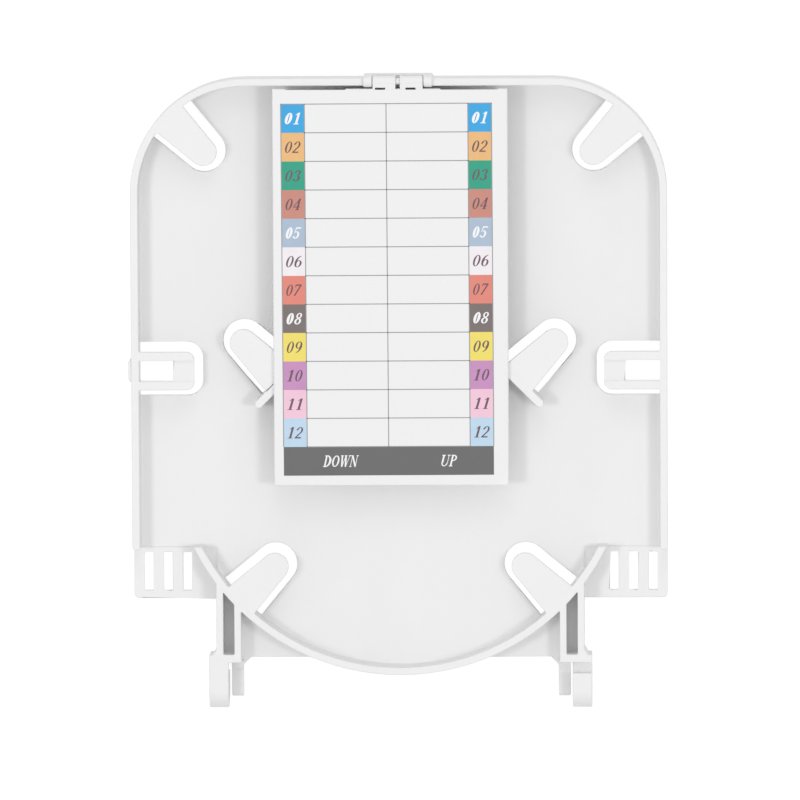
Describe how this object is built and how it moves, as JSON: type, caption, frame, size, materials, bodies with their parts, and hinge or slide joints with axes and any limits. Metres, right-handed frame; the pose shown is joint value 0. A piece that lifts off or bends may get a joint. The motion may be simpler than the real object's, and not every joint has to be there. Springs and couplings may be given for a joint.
{
  "type": "fibre splice tray",
  "caption": "Flat moulded tray with a raised rim, fibre-holding tongues, cable ports and snap hooks, and a hinged cover with a colour-coded label over its splice field.",
  "frame": {"origin": "centre of the round front wall, on the tray's flat back face", "axes": "+Z out of the open side, +Y towards the hinged end of the cover, +X across the tray, to the right when the tray is seen from its open side with the hooks below"},
  "size_m": [0.1509, 0.1782, 0.0123],
  "materials": {
    "tray_plastic": "satin moulded white",
    "comb_plastic": "satin moulded white",
    "cover_plastic": "satin moulded white",
    "label_film": "smooth printed film"
  },
  "bodies": {
    "tray": {"tray_body": "tray_plastic", "splice_comb_left": "comb_plastic", "splice_comb_right": "comb_plastic"},
    "cover": {"splice_cover": "cover_plastic", "label_sheet": "label_film"}
  },
  "joints": [
    {"name": "cover_hinge", "type": "hinge", "parent": "tray", "child": "cover", "pos_m": [0, 0.10255, 0.01], "axis": [-1, 0, 0], "range_deg": [0, 120]}
  ]
}
